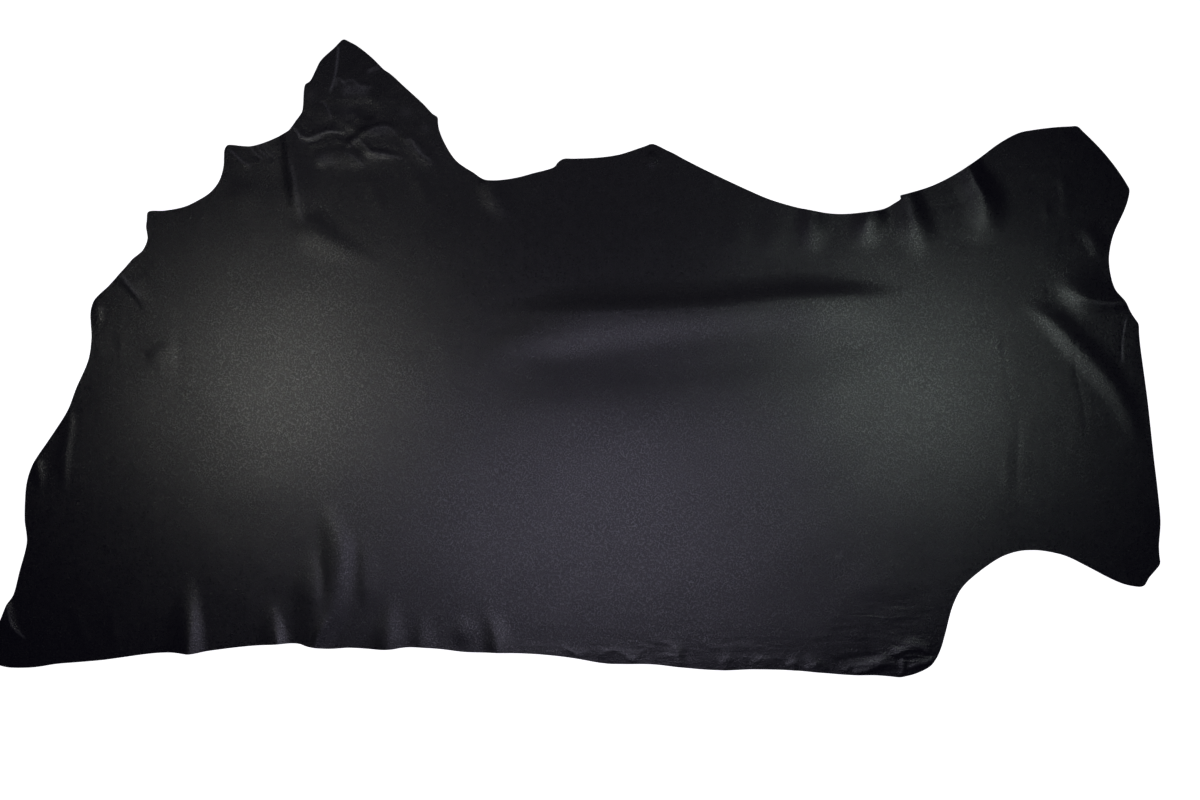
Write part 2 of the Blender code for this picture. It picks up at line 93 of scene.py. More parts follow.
# The main folds: how high each stands, how far its flanks reach to the left and to the right of its
# crest, how round the crest is (1 round, 0.6 sharp), how wide it starts as a share of those flanks, over
# what length it fades in and out at its ends, and its crest's (x, y) points.
FOLDS = [
    # name, height, left, right, roundness, start, fade in, fade out, crest
    ("middle_ridge", 6.6, 175, 58, 0.74, 0.9, 240, 240,
     [(1860, 762), (1760, 760), (1670, 759), (1610, 757), (1551, 752), (1492, 746), (1433, 741),
      (1374, 739), (1316, 736), (1257, 735), (1198, 733), (1139, 729), (1080, 726), (990, 724)]),
    ("middle_tip", 2.0, 170, 48, 1.0, 1.0, 110, 110,
     [(1250, 714), (1139, 704), (1080, 688), (1030, 664), (985, 630)]),
    ("middle_swell_1", 2.0, 140, 240, 1.0, 1.0, 160, 140,
     [(990, 500), (1064, 514), (1144, 520), (1224, 530), (1344, 540), (1464, 550), (1584, 556),
      (1704, 552), (1820, 540)]),
    ("middle_swell_2", 1.5, 96, 260, 1.0, 1.0, 160, 200,
     [(1000, 520), (1064, 530), (1144, 540), (1224, 556), (1344, 570), (1464, 584), (1584, 582),
      (1700, 578)]),
    # thigh
    ("thigh_ridge", 3.8, 66, 30, 0.8, 0.9, 0, 110,
     [(598, 1084), (603, 1052), (608, 1020), (613, 985), (618, 940), (630, 880)]),
    ("thigh_fold", 2.3, 60, 54, 0.92, 0.7, 160, 60,
     [(790, 820), (744, 842), (702, 862), (666, 882), (642, 904), (622, 946)]),
    ("thigh_streak", 1.0, 56, 34, 1.0, 1.0, 40, 50, [(492, 1000), (502, 972), (516, 946), (536, 922)]),
    ("butt_crease", 1.5, 44, 26, 0.8, 0.8, 0, 70,
     [(262, 808), (274, 794), (290, 776), (308, 758), (324, 732)]),
    ("butt_dimple", 0.9, 22, 50, 0.9, 0.9, 26, 30, [(314, 628), (336, 644), (356, 656), (380, 668)]),
    ("butt_edge", 1.1, 16, 30, 0.9, 1.0, 16, 40, [(214, 752), (220, 732), (224, 694)]),
    ("butt_line_1", 0.9, 15, 24, 0.9, 1.0, 40, 80,
     [(164, 544), (166, 516), (161, 480), (156, 440), (152, 350)]),
    ("butt_line_2", 1.5, 18, 22, 0.8, 1.0, 12, 60, [(98, 440), (101, 420), (104, 396), (106, 360)]),
    ("tail_fold", 2.4, 18, 22, 0.7, 1.0, 12, 50, [(36, 156), (42, 128), (46, 106), (60, 88), (78, 74)]),
    # flank and belly
    ("flank_fold", 3.2, 46, 50, 1.0, 0.7, 10, 80,
     [(1000, 1002), (1008, 980), (1018, 956), (1034, 928), (1048, 902)]),
    ("belly_peak_bump", 1.8, 22, 22, 0.9, 1.0, 20, 20, [(1322, 1056), (1328, 1036), (1326, 1012)]),
    ("belly_fold_1", 0.9, 44, 46, 1.0, 0.8, 0, 70, [(1500, 950), (1500, 890), (1496, 820)]),
    ("belly_fold_2", 1.2, 50, 52, 1.0, 0.8, 0, 64, [(1584, 950), (1573, 900), (1560, 826)]),
    ("belly_fold_3", 3.6, 58, 54, 1.0, 0.5, 0, 76, [(1646, 944), (1647, 900), (1650, 834)]),
    ("belly_fold_4", 6.0, 84, 60, 1.0, 0.46, 0, 80, [(1766, 944), (1758, 908), (1750, 880), (1741, 850)]),
    ("belly_fold_5", 4.8, 66, 80, 0.84, 0.5, 0, 86,
     [(1839, 962), (1847, 936), (1853, 914), (1860, 892), (1862, 872), (1856, 832)]),
    ("fore_shank_fold", 7.2, 82, 76, 0.8, 0.46, 0, 108,
     [(1958, 1020), (1971, 989), (1983, 968), (1990, 949), (1993, 926), (1992, 906), (1988, 888),
      (1980, 862)]),
    ("fore_shank_crease", 0.54, 30, 12, 0.8, 1.0, 30, 30,
     [(2129, 1004), (2144, 989), (2151, 964), (2151, 944), (2142, 916)]),
    ("armpit_bump", 1.3, 34, 24, 1.0, 1.0, 24, 28, [(2178, 888), (2202, 880), (2214, 864), (2208, 834)]),
    ("armpit_fold", 5.4, 54, 100, 0.7, 0.5, 0, 84,
     [(2276, 748), (2248, 748), (2219, 750), (2191, 757), (2163, 778), (2130, 806)]),
    ("neck_diagonal", 3.4, 46, 38, 0.88, 0.9, 140, 220,
     [(2052, 754), (2084, 738), (2121, 715), (2149, 690), (2177, 660), (2205, 633), (2233, 601),
      (2261, 563), (2280, 526), (2292, 489), (2296, 430)]),
    ("back_ruffle_1", 8.2, 66, 40, 0.75, 1.0, 0, 190,
     [(400, -40), (402, 24), (405, 80), (405, 130), (402, 215)]),
    ("back_ruffle_2", 6.0, 60, 34, 0.75, 1.0, 0, 150,
     [(584, -20), (580, 44), (576, 90), (569, 130), (560, 170)]),
    ("back_ruffle_3", 2.8, 60, 34, 1.0, 0.8, 0, 120,
     [(648, 44), (652, 90), (656, 140), (654, 190), (642, 276)]),
    ("back_ruffle_4", 3.5, 50, 44, 1.0, 0.85, 0, 130,
     [(654, 34), (660, 70), (670, 100), (683, 130), (692, 160), (697, 200), (701, 240), (700, 270),
      (690, 306), (664, 366)]),
    ("back_ruffle_5", 0.8, 20, 40, 1.0, 1.0, 70, 70, [(756, 120), (755, 170), (754, 220), (748, 290)]),
    ("back_ruffle_6", 3.2, 44, 44, 0.8, 1.0, 0, 110, [(799, 38), (801, 90), (806, 130), (810, 170)]),
    ("back_ruffle_7", 1.9, 34, 40, 0.9, 1.0, 0, 90, [(868, 44), (869, 90), (872, 140)]),
    ("back_ruffle_8", 1.4, 30, 34, 1.0, 1.0, 40, 40, [(950, 50), (951, 90), (952, 132)]),
    ("back_ruffle_9", 4.6, 38, 44, 0.75, 1.0, 0, 96, [(1021, 38), (1017, 80), (1009, 112), (1000, 146)]),
    ("back_ruffle_10", 2.0, 44, 24, 0.9, 1.0, 0, 60, [(1382, 12), (1378, 45), (1366, 86)]),
    ("back_ruffle_11", 1.1, 30, 22, 1.0, 1.0, 0, 44, [(1290, 16), (1284, 40), (1272, 70)]),
    ("back_ruffle_12", 1.0, 28, 24, 1.0, 0.6, 0, 44, [(1470, 4), (1476, 30), (1484, 60)]),
    ("back_ruffle_13", 0.9, 24, 30, 1.0, 1.4, 0, 36, [(1546, 6), (1543, 28), (1530, 54)]),
    ("back_ruffle_14", 1.2, 26, 20, 1.0, 0.6, 0, 40, [(1612, 4), (1610, 24), (1620, 52)]),
    ("back_ruffle_15", 1.5, 22, 20, 0.9, 1.3, 0, 36, [(1658, 4), (1652, 24), (1634, 52)]),
    # neck end of the backbone
    ("poll_fold_1", 1.5, 28, 14, 0.8, 0.8, 12, 30,
     [(1728, 4), (1740, 9), (1758, 14), (1788, 26), (1822, 29)]),
    ("poll_fold_2", 1.28, 12, 14, 0.8, 1.0, 10, 16, [(1828, 0), (1829, 22), (1830, 44)]),
    ("poll_fold_3", 1.2, 18, 14, 0.8, 1.0, 20, 16,
     [(1800, 44), (1829, 53), (1845, 61), (1868, 59), (1886, 45)]),
    ("poll_fold_4", 1.28, 12, 12, 0.75, 1.0, 12, 12, [(1834, 16), (1860, 26), (1876, 30), (1894, 39)]),
    ("poll_swell", 0.8, 90, 54, 1.0, 1.0, 70, 70, [(1700, 186), (1790, 190), (1888, 180)]),
    # hind shank
    ("shank_swell", 9.0, 90, 270, 1.0, 1.0, 0, 0, [(560, 1250), (700, 1280), (800, 1270), (900, 1220)]),
    ("shank_flap", 1.2, 30, 6, 0.7, 1.0, 0, 50,
     [(705, 1268), (703, 1240), (701, 1220), (697, 1198), (691, 1178), (684, 1158), (674, 1136)]),
    ("shank_bump_1", 1.9, 16, 40, 0.9, 1.0, 16, 30,
     [(690, 1174), (702, 1194), (712, 1190), (732, 1193), (746, 1182), (771, 1180), (794, 1172)]),
    ("shank_bump_2", 1.4, 12, 14, 0.9, 1.0, 12, 8, [(756, 1204), (766, 1212), (788, 1219)]),
    ("shank_bump_3", 1.0, 22, 26, 1.0, 1.0, 30, 36, [(700, 1138), (732, 1134), (756, 1124), (780, 1106)]),
    ("shank_bump_4", 0.9, 12, 12, 1.0, 1.0, 14, 14, [(808, 1190), (824, 1182), (842, 1170)]),
    ("pucker_1", 2.0, 26, 12, 0.75, 1.0, 10, 18,
     [(604, 1108), (611, 1100), (626, 1084), (640, 1077), (656, 1082), (675, 1090), (694, 1091),
      (714, 1088), (726, 1079)]),
    ("pucker_2", 3.0, 22, 32, 0.85, 1.0, 20, 18,
     [(736, 1074), (754, 1090), (780, 1101), (804, 1100), (826, 1080)]),
    ("pucker_3", 2.6, 24, 30, 0.9, 1.0, 20, 40,
     [(826, 1060), (836, 1074), (849, 1074), (858, 1060), (869, 1045), (887, 1033), (912, 1018)]),
    ("pucker_4", 2.2, 18, 20, 0.8, 1.0, 10, 40,
     [(720, 1056), (725, 1067), (739, 1077), (753, 1067), (764, 1051), (796, 1045), (832, 1036)]),
    ("pucker_5", 1.3, 26, 32, 1.0, 1.0, 20, 30,
     [(650, 1024), (664, 1036), (688, 1043), (712, 1048), (728, 1045), (746, 1029), (758, 1018)]),
    ("pucker_6", 2.2, 26, 34, 1.0, 1.0, 20, 16, [(848, 1082), (862, 1096), (876, 1106), (890, 1114)]),
]

# The small creases, laid over the folds: how far each rises (or sinks, below 0), how wide its soft band
# is on each side, over what length it fades at both ends, and its (x, y) points.
CREASES = [
    # name, height, width, fade, crest
    ("middle_trough", -1.1, 46, 130,
     [(1000, 608), (1064, 634), (1144, 642), (1224, 656), (1344, 670), (1464, 682), (1584, 690),
      (1704, 682), (1800, 670)]),
    ("middle_hairline", -0.16, 5, 20, [(1215, 688), (1240, 686), (1270, 680), (1300, 678)]),
    ("shank_mound_1", 0.35, 16, 10, [(640, 1062), (668, 1066), (700, 1068)]),
    ("shank_mound_2", 0.4, 16, 8, [(658, 1034), (676, 1028)]),
    ("shank_mound_3", 0.4, 16, 8, [(676, 1014), (692, 1008)]),
    ("shank_mound_4", 0.35, 14, 8, [(694, 1038), (704, 1034)]),
    ("shank_dent_1", -0.5, 14, 20, [(744, 1150), (770, 1142), (800, 1120)]),
    ("shank_dent_2", -0.5, 12, 16, [(618, 1130), (636, 1124), (656, 1112)]),
    ("shank_tick", -0.2, 4, 5, [(793, 1142), (801, 1130)]),
    ("shank_left_crease", -0.45, 6, 10, [(660, 1151), (676, 1145), (685, 1130), (692, 1106)]),
    ("shank_pucker_line_1", -0.4, 5, 14, [(624, 1073), (640, 1070), (660, 1073), (676, 1079)]),
    ("shank_pucker_line_2", -0.35, 6, 12, [(724, 1078), (732, 1060), (742, 1052)]),
    ("shank_pucker_line_3", -0.35, 6, 12, [(822, 1078), (828, 1056), (842, 1040)]),
    ("shank_pucker_line_4", -0.25, 7, 14, [(772, 1062), (800, 1056), (830, 1050)]),
    ("thigh_pleat_1", 0.7, 7, 16, [(480, 1054), (496, 1042), (510, 1028), (530, 1018)]),
    ("thigh_pleat_2", -0.6, 4.5, 12, [(520, 1064), (527, 1049), (546, 1031)]),
    ("thigh_pleat_3", -0.6, 4.5, 12, [(530, 1066), (538, 1051), (554, 1036)]),
    ("thigh_pleat_4", -0.6, 4.5, 12, [(542, 1066), (551, 1052), (574, 1030)]),
    ("thigh_pleat_5", -0.6, 4.5, 12, [(556, 1066), (564, 1054), (582, 1042)]),
    ("thigh_blot_1", 0.5, 9, 6, [(566, 1030), (576, 1026)]),
    ("thigh_streak_2", 0.7, 18, 40, [(748, 1016), (766, 984), (779, 950), (786, 916)]),
    ("thigh_streak_3", 0.7, 20, 40, [(842, 1018), (862, 990), (875, 960), (884, 926)]),
    ("butt_dark_line", -0.5, 5, 16, [(296, 822), (308, 812), (322, 798)]),
    ("butt_notch_trough", -0.45, 12, 30, [(262, 790), (280, 768), (300, 742), (318, 718)]),
    ("butt_line_3", -0.25, 12, 40, [(245, 710), (247, 670), (246, 620)]),
    ("butt_line_4", 0.2, 12, 30, [(266, 700), (268, 665), (266, 620)]),
    ("butt_line_5", -0.15, 16, 80, [(382, 776), (384, 700), (381, 620), (382, 554)]),
    ("butt_swell_1", 0.4, 14, 16, [(222, 662), (226, 634)]),
    ("butt_swell_2", 0.25, 14, 16, [(424, 936), (434, 908)]),
    ("tail_swell", 0.5, 9, 20, [(70, 218), (112, 217)]),
    ("tail_ruffle_1", 0.5, 18, 40, [(168, 160), (180, 118), (204, 56)]),
    ("tail_ruffle_2", 0.4, 16, 30, [(250, 140), (252, 100), (262, 56)]),
    ("flank_swell_1", 0.6, 24, 30, [(1290, 948), (1352, 944)]),
    ("flank_swell_2", 0.5, 24, 30, [(1290, 880), (1352, 874)]),
    ("belly_streak", 0.35, 14, 16, [(1462, 998), (1446, 976), (1432, 964)]),
    ("fore_shank_line_1", -0.23, 5, 24, [(1874, 938), (1909, 942), (1934, 944), (1962, 953)]),
    ("fore_shank_line_2", -0.15, 5, 20, [(1890, 948), (1920, 953), (1948, 960)]),
    ("fore_shank_hollow", -0.45, 24, 26, [(1936, 892), (1950, 872), (1974, 852)]),
    ("fore_shank_swell", 0.7, 20, 16, [(2106, 932), (2124, 928)]),
    ("fore_shank_line_3", -0.18, 5.1, 24, [(2106, 806), (2113, 792), (2119, 772), (2121, 745)]),
    ("fore_shank_blot_1", 0.25, 10, 8, [(2146, 1082), (2160, 1070)]),
    ("fore_shank_blot_2", 0.25, 8, 8, [(2226, 870), (2232, 858)]),
    ("neck_bump", 0.4, 11, 14, [(2018, 688), (2018, 666), (2022, 644)]),
    ("neck_line_1", -0.17, 5.4, 40,
     [(2029, 690), (2031, 650), (2037, 610), (2041, 573), (2046, 530)]),
    ("neck_line_2", -0.24, 6.5, 40, [(2058, 540), (2060, 500), (2058, 440), (2057, 390), (2059, 330)]),
    ("neck_line_3", -0.22, 5.1, 30,
     [(2172, 690), (2173, 657), (2175, 610), (2184, 568), (2191, 531), (2197, 480)]),
    ("neck_line_4", -0.08, 7, 40, [(2118, 520), (2122, 460), (2126, 400)]),
    ("neck_line_5", -0.07, 7, 40, [(2150, 540), (2156, 480), (2160, 420)]),
    ("neck_line_6", 0.26, 13, 50, [(2036, 500), (2036, 430), (2038, 350)]),
    ("neck_line_7", -0.07, 7, 40, [(2088, 500), (2092, 440), (2094, 380)]),
    ("neck_line_8", -0.11, 6.8, 40, [(1994, 740), (2004, 700), (2018, 690)]),
    ("neck_swell", 0.3, 16, 16, [(1970, 752), (1982, 736)]),
    ("back_streak", 1.6, 13, 40, [(646, 26), (656, 60), (668, 96), (684, 132)]),
    ("scratch", -0.25, 4, 20, [(2273, 724), (2269, 694), (2266, 657), (2265, 622)]),
    ("back_line_1", 0.16, 4, 16, [(1060, 63), (1100, 64), (1150, 62), (1174, 50), (1186, 45), (1208, 57)]),
    ("back_line_2", 0.16, 4, 14, [(1214, 52), (1240, 55), (1262, 57), (1300, 50), (1318, 56)]),
    ("back_line_3", 0.16, 4, 16, [(1424, 61), (1480, 61), (1503, 63), (1548, 61), (1578, 57)]),
    ("back_line_4", 0.16, 5, 12, [(1070, 52), (1096, 56), (1120, 50), (1142, 54)]),
    ("back_line_5", 0.2, 6, 10, [(1330, 36), (1352, 44), (1376, 40)]),
    ("back_line_6", 0.16, 5, 12, [(1500, 36), (1530, 42), (1562, 36), (1590, 40)]),
    ("edge_zigzag_1", 0.4, 8, 8, [(1144, 61), (1160, 54), (1178, 47), (1200, 55)]),
    ("edge_zigzag_2", 0.4, 8, 8, [(1217, 44), (1256, 55), (1274, 44), (1290, 36), (1306, 52)]),
    ("edge_zigzag_3", 0.45, 9, 10, [(1328, 72), (1368, 64), (1378, 50), (1380, 36)]),
    ("edge_zigzag_4", 0.4, 9, 8, [(1458, 24), (1480, 36), (1502, 27)]),
    ("edge_zigzag_5", 0.35, 8, 8, [(1525, 27), (1548, 36), (1570, 24)]),
    ("edge_zigzag_6", 0.4, 8, 8, [(1592, 22), (1614, 30), (1637, 18), (1662, 27), (1682, 13)]),
    ("edge_zigzag_7", 0.5, 9, 10, [(1704, 8), (1726, 22), (1760, 27), (1794, 30)]),
    ("edge_zigzag_8", -0.4, 8, 10, [(1690, 30), (1716, 36), (1750, 42), (1786, 44)]),
    ("back_dent", -0.5, 19, 26, [(1392, 18), (1397, 44), (1410, 70)]),
    ("scar", -0.7, 3.5, 3, [(1696, 241), (1705, 258)]),
    ("scar_lip", 0.3, 4, 4, [(1691, 236), (1700, 241)]),
    ("pock_1", -0.5, 4, 2, [(1669, 260), (1673, 261)]),
    ("pock_2", -0.5, 4, 2, [(1740, 260), (1744, 261)]),
]

# Where the base colour is paler, for rubbed places of the finish and for painted highlights along crests
# and lines: how strongly (0 to 1), how wide the line's soft band is on each side, over what length it
# fades at both ends, and its (x, y) points.
RUBBED_AND_HIGHLIT = [
    # name, strength, width, fade, crest
    ("flap_edge", 1.0, 3.5, 12,
     [(704, 1262), (702, 1240), (700, 1220), (696, 1198), (690, 1178), (684, 1164)]),
    ("shank_left", 0.5, 3.2, 8, [(662, 1150), (674, 1146), (683, 1132), (689, 1110)]),
    ("shank_knot_1", 0.42, 4.4, 8,
     [(697, 1176), (702, 1194), (713, 1188), (731, 1191), (745, 1179), (772, 1177)]),
    ("shank_knot_2", 0.3, 5.0, 6, [(708, 1194), (716, 1182), (728, 1174)]),
    ("shank_knot_3", 0.5, 7.0, 8, [(758, 1204), (768, 1211), (788, 1218)]),
    ("shank_knot_4", 0.42, 18.0, 16, [(704, 1164), (730, 1172), (768, 1168)]),
    ("shank_rub_and_highlight_1", 0.16, 26.0, 20, [(700, 1140), (720, 1130), (744, 1132)]),
    ("shank_rub_and_highlight_2", 0.2, 18.0, 20, [(822, 1140), (838, 1128), (856, 1120)]),
    ("shank_rub_and_highlight_3", 0.14, 20.0, 20, [(640, 1180), (646, 1160), (650, 1140)]),
    ("shank_rub_and_highlight_4", 0.26, 18.0, 16, [(650, 1030), (676, 1036), (700, 1028)]),
    ("shank_rub_and_highlight_5", 0.3, 16.0, 22, [(762, 1084), (790, 1092), (814, 1082)]),
    ("shank_rub_and_highlight_6", 0.28, 11.0, 18, [(836, 1066), (856, 1056), (876, 1038)]),
    ("shank_rub_and_highlight_7", 0.22, 14.0, 22, [(868, 1086), (884, 1106)]),
    ("pucker_line_1", 0.7, 3.2, 8,
     [(604, 1106), (614, 1096), (628, 1080), (640, 1075), (656, 1080), (675, 1088), (694, 1089),
      (712, 1086)]),
    ("pucker_line_2", 0.4, 3.0, 8, [(618, 1090), (630, 1070), (640, 1064)]),
    ("pucker_line_3", 0.4, 3.0, 8, [(634, 1067), (652, 1072), (672, 1081)]),
    ("pucker_line_4", 0.5, 3.2, 8,
     [(728, 1071), (740, 1075), (752, 1064), (766, 1050), (796, 1044), (834, 1035)]),
    ("pucker_line_5", 0.6, 3.2, 6, [(834, 1073), (848, 1072), (857, 1058), (869, 1044), (888, 1032)]),
    ("pucker_line_6", 0.5, 3.0, 6, [(712, 1046), (728, 1043), (745, 1028), (757, 1018)]),
    ("pucker_line_7", 0.5, 3.0, 8, [(757, 1087), (782, 1097), (803, 1097), (820, 1080)]),
    ("thigh_line", 0.3, 6.6, 40,
     [(599, 1052), (606, 1030), (613, 1000), (618, 970), (621, 940), (630, 916), (648, 894)]),
    ("thigh_pleat_1", 0.7, 3.0, 6, [(480, 1056), (496, 1044), (510, 1030), (528, 1020)]),
    ("thigh_pleat_2", 0.6, 2.6, 6, [(524, 1064), (533, 1050), (552, 1034)]),
    ("thigh_pleat_3", 0.6, 2.6, 6, [(536, 1066), (546, 1052), (564, 1036)]),
    ("thigh_pleat_4", 0.5, 2.6, 6, [(549, 1064), (559, 1052), (576, 1037)]),
    ("notch_streak", 0.5, 6.0, 10, [(266, 806), (278, 792), (292, 774), (309, 758)]),
    ("butt_spot", 0.15, 10.8, 8, [(230, 744), (232, 726)]),
    ("belly_tip_1", 0.18, 8.4, 20, [(1762, 926), (1758, 900), (1756, 880)]),
    ("belly_tip_2", 0.3, 6, 16, [(1838, 954), (1843, 930), (1848, 906), (1852, 884)]),
    ("belly_tip_3", 0.15, 8.4, 16, [(1646, 914), (1646, 890)]),
    ("belly_streak", 0.18, 8.4, 8, [(1460, 996), (1450, 982)]),
    ("fore_shank_tip", 0.24, 6, 16, [(1960, 1012), (1970, 988), (1982, 966), (1992, 950)]),
    ("armpit_line", 0.21, 4.8, 14, [(2196, 752), (2226, 747), (2262, 746)]),
    ("armpit_bump", 0.14, 9.0, 10, [(2190, 880), (2202, 872), (2206, 856)]),
    ("scratch", 0.9, 2.4, 10, [(2276, 722), (2271, 694), (2268, 657), (2267, 626)]),
    ("scar_1", 0.7, 2.4, 3, [(1700, 239), (1708, 254)]),
    ("scar_2", 0.5, 2.4, 3, [(1692, 238), (1700, 254)]),
    ("scar_3", 0.5, 2.4, 3, [(1692, 234), (1702, 240)]),
    ("back_line_1", 0.30, 2.6, 12,
     [(1060, 63), (1100, 64), (1150, 62), (1174, 50), (1186, 45), (1208, 57)]),
    ("back_line_2", 0.35, 2.6, 10, [(1214, 52), (1240, 55), (1262, 57), (1300, 50), (1318, 56)]),
    ("back_line_3", 0.35, 2.6, 12, [(1424, 61), (1480, 61), (1503, 63), (1548, 61), (1578, 57)]),
    ("back_vee", 0.5, 5.0, 6, [(1170, 50), (1184, 44), (1196, 50)]),
    ("edge_zigzag_1", 0.22, 5.0, 8, [(1217, 44), (1256, 55), (1274, 44), (1290, 36), (1306, 52)]),
    ("edge_zigzag_2", 0.3, 7.0, 8, [(1362, 60), (1374, 50), (1378, 32)]),
    ("edge_zigzag_3", 0.2, 5.0, 8, [(1592, 22), (1614, 30), (1637, 18), (1662, 27)]),
    ("edge_zigzag_4", 0.2, 6.0, 10, [(1706, 12), (1726, 24), (1760, 29)]),
    ("poll_line_1", 0.2, 5.0, 8, [(1736, 12), (1758, 17), (1788, 29), (1818, 31)]),
    ("poll_line_2", 0.26, 4.6, 6, [(1838, 20), (1860, 28), (1876, 32), (1892, 40)]),
    ("poll_line_3", 0.2, 5.5, 6, [(1826, 4), (1827, 24), (1829, 40)]),
    ("poll_line_4", 0.24, 6, 8, [(1808, 48), (1829, 56), (1845, 63), (1868, 61), (1882, 50)]),
    ("poll_patch", 0.2, 12.0, 14, [(1726, 22), (1752, 26), (1784, 34)]),
    ("tail_line", 0.4, 3.0, 10, [(38, 150), (44, 126), (49, 106), (62, 90), (78, 77)]),
]

# Patches of fine wrinkles: how strong they are, the patch's middle, how far it reaches along x and y.
CRUMPLED = [
    # name, strength, middle, reach
    ("backbone_wrinkles", 0.6, (1790, 110), (230, 130)),
    ("poll_wrinkles", 1.0, (1840, 45), (90, 60)),
    ("back_wrinkles", 0.5, (1420, 70), (420, 90)),
    ("shank_wrinkles", 0.15, (740, 1130), (170, 150)),
    ("fore_shank_wrinkles", 0.4, (2140, 1040), (120, 90)),
    ("belly_wrinkles", 0.3, (1420, 980), (260, 60)),
]
STRETCHED = [
    # name, strength, middle, reach
    ("neck_wrinkles", 0.18, (2130, 450), (200, 260)),
    ("cheek_wrinkles", 0.3, (2280, 620), (60, 160)),
    ("butt_wrinkles", 0.26, (250, 640), (130, 190)),
    ("tail_wrinkles", 0.2, (120, 330), (120, 200)),
    ("armpit_wrinkles", 0.3, (2150, 840), (110, 90)),
]

# Patches of puckered leather: how high the lumps are in mm, the patch's middle, how far it reaches along
# x and y.
PUCKERED = [
    # name, height, middle, reach
    ("shank_puckers", 5.0, (740, 1130), (150, 140)),
    ("pucker_row", 1.2, (760, 1060), (190, 70)),
    ("thigh_puckers", 1.0, (540, 1040), (90, 50)),
    ("fore_shank_puckers", 1.3, (2130, 1010), (130, 110)),
    ("armpit_puckers", 1.2, (2200, 820), (110, 90)),
    ("backbone_puckers", 0.9, (1780, 100), (240, 110)),
    ("back_puckers", 0.8, (1300, 40), (520, 40)),
    ("tail_puckers", 0.6, (260, 90), (240, 70)),
]


def smooth_curve(points, step, closed=False):
    """A centripetal Catmull-Rom curve through the points, in steps of about that length."""
    rows = np.array(points, float)
    if closed:
        knots = np.vstack([rows[-1], rows, rows[:2]])
    else:
        knots = np.vstack([2 * rows[0] - rows[1], rows, 2 * rows[-1] - rows[-2]])
    curve = [] if closed else [rows[0]]
    for i in range(1, len(knots) - 2):
        p0, p1, p2, p3 = knots[i - 1 : i + 3]
        t1 = math.sqrt(np.linalg.norm(p1 - p0))
        t2 = t1 + math.sqrt(np.linalg.norm(p2 - p1))
        t3 = t2 + math.sqrt(np.linalg.norm(p3 - p2))
        steps = max(1, math.ceil(np.linalg.norm(p2 - p1) / step))
        for t in t1 + (t2 - t1) * np.arange(1, steps + 1) / steps:
            a1 = p0 + (p1 - p0) * t / t1
            a2 = p1 + (p2 - p1) * (t - t1) / (t2 - t1)
            a3 = p2 + (p3 - p2) * (t - t2) / (t3 - t2)
            b1 = a1 + (a2 - a1) * t / t2
            b2 = a2 + (a3 - a2) * (t - t1) / (t3 - t1)
            curve.append(b1 + (b2 - b1) * (t - t1) / (t2 - t1))
    return np.array(curve)


def solid_outline():
    """The cut edge of the CAD solid, in table millimetres: the border of the faces of its flesh side."""
    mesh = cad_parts["hide"].data
    points = np.array([vertex.co for vertex in mesh.vertices])
    _, first, welded = np.unique(np.round(points, 5), axis=0, return_index=True, return_inverse=True)
    points, welded = points[first], welded.ravel()
    following = {}
    for face in mesh.polygons:
        if face.normal.z > -0.5:
            continue
        ring = [int(welded[i]) for i in face.vertices]
        for a, b in zip(ring, ring[1:] + ring[:1]):
            if following.get(b) and a in following[b]:
                following[b].discard(a)
            else:
                following.setdefault(a, set()).add(b)
    start = at = next(a for a, found in following.items() if found)
    loop = []
    while True:
        loop.append(at)
        at = next(iter(following[at]))
        if at == start:
            break
    return (points[loop][:, :2] - LOW[:2]) / MM


def along_crest(points, crest):
    """(distance to the left of the crest, how far along it, its length) for each point."""
    path = smooth_curve(crest, PATH_STEP_MM)
    starts, runs = path[:-1], np.diff(path, axis=0)
    lengths = np.linalg.norm(runs, axis=1)
    along = np.concatenate([[0], np.cumsum(lengths)])
    best = np.full(len(points), np.inf)
    side, travelled = np.ones(len(points)), np.zeros(len(points))
    for i, (begin, step, length) in enumerate(zip(starts, runs, lengths)):
        share = np.clip((points - begin) @ step / length**2, 0, 1)
        offset = points - begin - share[:, None] * step
        distance = np.linalg.norm(offset, axis=1)
        nearer = distance < best
        best[nearer] = distance[nearer]
        side[nearer] = np.where(step[0] * offset[nearer, 1] > step[1] * offset[nearer, 0], 1, -1)
        travelled[nearer] = along[i] + share[nearer] * length
    return best * side, travelled, along[-1]


def fading(travelled, length, fade_in, fade_out):
    """How much of a fold is left at its ends, from 0 to 1."""
    fade = np.ones(len(travelled))
    for over, gone in ((fade_in, travelled), (fade_out, length - travelled)):
        if over:
            fade *= (1 - np.cos(math.pi * np.minimum(1, gone / over))) / 2
    return fade


def fold_share(points, left, right, roundness, start, fade_in, fade_out, crest):
    """The share of a fold's height at each point."""
    distance, travelled, length = along_crest(points, crest)
    fade = fading(travelled, length, fade_in, fade_out)
    spread = (start + (1 - start) * travelled / length) * (NARROWEST + (1 - NARROWEST) * fade)
    flank = np.minimum(1, np.abs(distance) / (np.where(distance > 0, left, right) * spread))
    return fade * (1 + np.cos(math.pi * flank ** (1 - (1 - roundness) * fade))) / 2


def strokes(points, table):
    """The soft lines of a table of creases, or of rubbed places and painted highlights, added up at each
    point.
    """
    total = np.zeros(len(points))
    for _, strength, width, fade, crest in table:
        rows = near(points, crest, width)
        if not rows.any():
            continue
        distance, travelled, length = along_crest(points[rows], crest)
        line = (1 + np.cos(math.pi * np.minimum(1, np.abs(distance) / width))) / 2
        end = np.minimum(fade, 0.5 * length)
        total[rows] += strength * line * fading(travelled, length, end, end)
    return total


def near(points, crest, reach):
    """Which points lie in the crest's box, widened by reach."""
    rows = np.array(crest, float)
    return np.all((points > rows.min(0) - reach) & (points < rows.max(0) + reach), axis=1)


